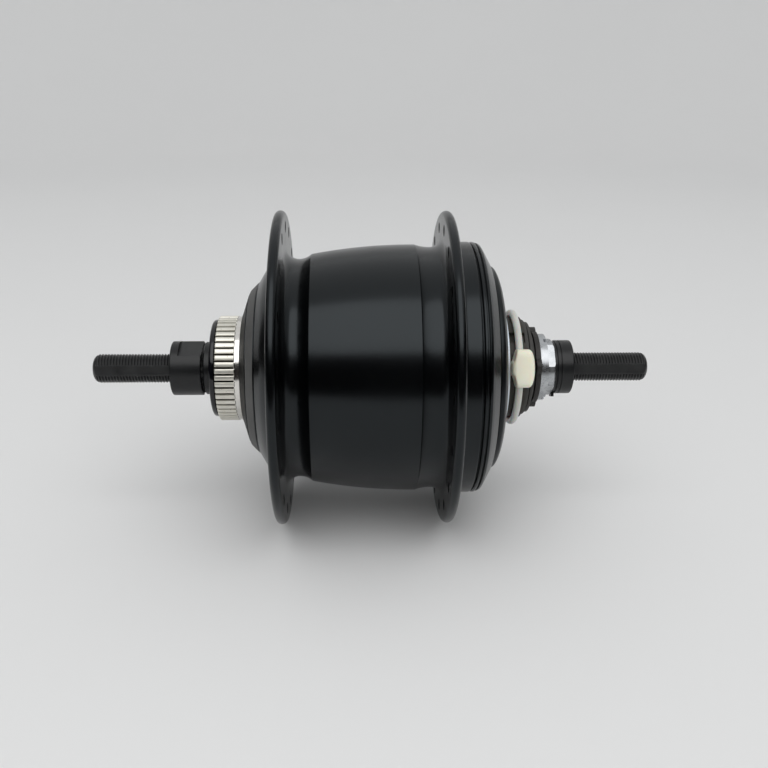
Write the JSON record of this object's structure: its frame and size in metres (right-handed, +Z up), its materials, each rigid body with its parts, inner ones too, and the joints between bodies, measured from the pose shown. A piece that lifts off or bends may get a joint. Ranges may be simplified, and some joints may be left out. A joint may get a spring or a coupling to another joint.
{
  "type": "bicycle hub gear",
  "caption": "Bicycle rear hub with planetary gears inside a barrel shell, spoke flanges, splined disc brake mount and threaded axle with flats.",
  "frame": {"origin": "on the axle, midway between the outer faces of the two locknuts", "axes": "+X along the axle towards the drive side, +Z up, -Y towards the camera of the picture"},
  "size_m": [0.184, 0.1032, 0.1032],
  "materials": {
    "shell_paint": "satin black paint",
    "black_steel": "black oxide",
    "nickel": "bright nickel",
    "zinc": "bright zinc plate",
    "hard_steel": "ground hardened steel",
    "phosphate": "dark phosphate",
    "black_plastic": "gloss black",
    "rubber": "matt black",
    "cream_plastic": "cream, slightly translucent",
    "bronze": "bronze"
  },
  "bodies": {
    "axle": {"axle": "black_steel", "left_cone": "hard_steel", "left_dust_cap": "black_plastic", "left_washer": "black_steel", "left_locknut": "black_steel", "right_cone": "zinc", "right_lock_washer": "black_steel", "right_locknut": "black_steel", "low_sun_gear": "hard_steel", "sun_pawls": "hard_steel", "axle_circlip": "hard_steel", "shift_return_spring": "hard_steel"},
    "shifter": {"shift_sleeve": "hard_steel", "shift_ring": "phosphate"},
    "driver": {"driver": "phosphate", "driver_cap": "black_plastic", "sprocket_stop_plate": "zinc", "driver_end_seal": "rubber", "shipping_band": "cream_plastic", "low_ring_gear": "hard_steel", "direct_clutch_ring": "hard_steel"},
    "carrier": {"carrier": "hard_steel", "planet_pins": "hard_steel"},
    "output": {"high_ring_gear": "hard_steel", "clutch_rollers": "hard_steel", "clutch_cage": "bronze"},
    "shell": {"hub_shell": "shell_paint", "disc_spline_ring": "nickel", "left_ball_cup": "hard_steel", "left_seal": "rubber", "clutch_race": "hard_steel", "right_ball_cup": "shell_paint"},
    "left_bearing": {"left_balls": "hard_steel", "left_ball_cage": "hard_steel"},
    "right_outer_bearing": {"right_outer_balls": "hard_steel", "right_outer_cage": "hard_steel"},
    "right_inner_bearing": {"right_inner_balls": "hard_steel", "right_inner_cage": "hard_steel"},
    "low_planet_1": {"low_planet_1": "hard_steel"},
    "high_planet_1": {"high_planet_1": "hard_steel"},
    "carrier_pawl_1": {"carrier_pawl_1": "hard_steel"},
    "low_planet_2": {"low_planet_2": "hard_steel"},
    "high_planet_2": {"high_planet_2": "hard_steel"},
    "carrier_pawl_2": {"carrier_pawl_2": "hard_steel"},
    "low_planet_3": {"low_planet_3": "hard_steel"},
    "high_planet_3": {"high_planet_3": "hard_steel"},
    "carrier_pawl_3": {"carrier_pawl_3": "hard_steel"},
    "high_sun_small": {"high_sun_small": "hard_steel"},
    "high_sun_middle": {"high_sun_middle": "hard_steel"},
    "high_sun_large": {"high_sun_large": "hard_steel"}
  },
  "joints": [
    {"name": "driver_spin", "type": "hinge", "parent": "axle", "child": "driver", "pos_m": [0, 0, 0], "axis": [1, 0, 0], "continuous": true},
    {"name": "carrier_spin", "type": "hinge", "parent": "axle", "child": "carrier", "pos_m": [0, 0, 0], "axis": [1, 0, 0], "continuous": true},
    {"name": "low_planet_1_spin", "type": "hinge", "parent": "carrier", "child": "low_planet_1", "pos_m": [0, 0.0195, 0], "axis": [1, 0, 0], "continuous": true},
    {"name": "low_planet_2_spin", "type": "hinge", "parent": "carrier", "child": "low_planet_2", "pos_m": [0, -0.00975, 0.01689], "axis": [1, 0, 0], "continuous": true},
    {"name": "low_planet_3_spin", "type": "hinge", "parent": "carrier", "child": "low_planet_3", "pos_m": [0, -0.00975, -0.01689], "axis": [1, 0, 0], "continuous": true},
    {"name": "output_spin", "type": "hinge", "parent": "carrier", "child": "output", "pos_m": [0, 0, 0], "axis": [1, 0, 0], "continuous": true},
    {"name": "high_planet_1_spin", "type": "hinge", "parent": "carrier", "child": "high_planet_1", "pos_m": [0, 0.0195, 0], "axis": [1, 0, 0], "continuous": true},
    {"name": "high_planet_2_spin", "type": "hinge", "parent": "carrier", "child": "high_planet_2", "pos_m": [0, -0.00975, 0.01689], "axis": [1, 0, 0], "continuous": true},
    {"name": "high_planet_3_spin", "type": "hinge", "parent": "carrier", "child": "high_planet_3", "pos_m": [0, -0.00975, -0.01689], "axis": [1, 0, 0], "continuous": true},
    {"name": "high_sun_small_spin", "type": "hinge", "parent": "carrier", "child": "high_sun_small", "pos_m": [0, 0, 0], "axis": [1, 0, 0], "continuous": true},
    {"name": "high_sun_middle_spin", "type": "hinge", "parent": "carrier", "child": "high_sun_middle", "pos_m": [0, 0, 0], "axis": [1, 0, 0], "continuous": true},
    {"name": "high_sun_large_spin", "type": "hinge", "parent": "carrier", "child": "high_sun_large", "pos_m": [0, 0, 0], "axis": [1, 0, 0], "continuous": true},
    {"name": "shell_freewheel", "type": "hinge", "parent": "output", "child": "shell", "pos_m": [0, 0, 0], "axis": [1, 0, 0], "continuous": true},
    {"name": "shift_turn", "type": "hinge", "parent": "axle", "child": "shifter", "pos_m": [0, 0, 0], "axis": [1, 0, 0], "range_deg": [0, 84], "stiffness_Nm_per_rad": 0.15, "springref_deg": -28.65},
    {"name": "carrier_pawl_1_swing", "type": "hinge", "parent": "carrier", "child": "carrier_pawl_1", "pos_m": [0, 0.02074, 0.01197], "axis": [-1, 0, 0], "range_deg": [0, 12], "stiffness_Nm_per_rad": 0.002, "springref_deg": 28.65},
    {"name": "carrier_pawl_2_swing", "type": "hinge", "parent": "carrier", "child": "carrier_pawl_2", "pos_m": [0, -0.02074, 0.01197], "axis": [-1, 0, 0], "range_deg": [0, 12], "stiffness_Nm_per_rad": 0.002, "springref_deg": 28.65},
    {"name": "carrier_pawl_3_swing", "type": "hinge", "parent": "carrier", "child": "carrier_pawl_3", "pos_m": [0, 0, -0.02395], "axis": [-1, 0, 0], "range_deg": [0, 12], "stiffness_Nm_per_rad": 0.002, "springref_deg": 28.65},
    {"name": "left_balls_spin", "type": "hinge", "parent": "axle", "child": "left_bearing", "pos_m": [0, 0, 0], "axis": [1, 0, 0], "continuous": true},
    {"name": "right_outer_balls_spin", "type": "hinge", "parent": "axle", "child": "right_outer_bearing", "pos_m": [0, 0, 0], "axis": [1, 0, 0], "continuous": true},
    {"name": "right_inner_balls_spin", "type": "hinge", "parent": "axle", "child": "right_inner_bearing", "pos_m": [0, 0, 0], "axis": [1, 0, 0], "continuous": true}
  ],
  "couplings": [
    {"joint": "carrier_spin", "follows": "driver_spin", "ratio": 0.53846},
    {"joint": "low_planet_1_spin", "follows": "driver_spin", "ratio": 1.2115},
    {"joint": "low_planet_2_spin", "follows": "driver_spin", "ratio": 1.2115},
    {"joint": "low_planet_3_spin", "follows": "driver_spin", "ratio": 1.2115},
    {"joint": "high_planet_1_spin", "follows": "output_spin", "ratio": 3.6},
    {"joint": "high_planet_2_spin", "follows": "output_spin", "ratio": 3.6},
    {"joint": "high_planet_3_spin", "follows": "output_spin", "ratio": 3.6},
    {"joint": "high_sun_small_spin", "follows": "output_spin", "ratio": -4.2},
    {"joint": "high_sun_middle_spin", "follows": "output_spin", "ratio": -2.25},
    {"joint": "high_sun_large_spin", "follows": "output_spin", "ratio": -1.6},
    {"joint": "left_balls_spin", "follows": "driver_spin", "ratio": 0.3244},
    {"joint": "right_outer_balls_spin", "follows": "driver_spin", "ratio": 0.75174},
    {"joint": "right_inner_balls_spin", "follows": "driver_spin", "ratio": 0.58333}
  ]
}
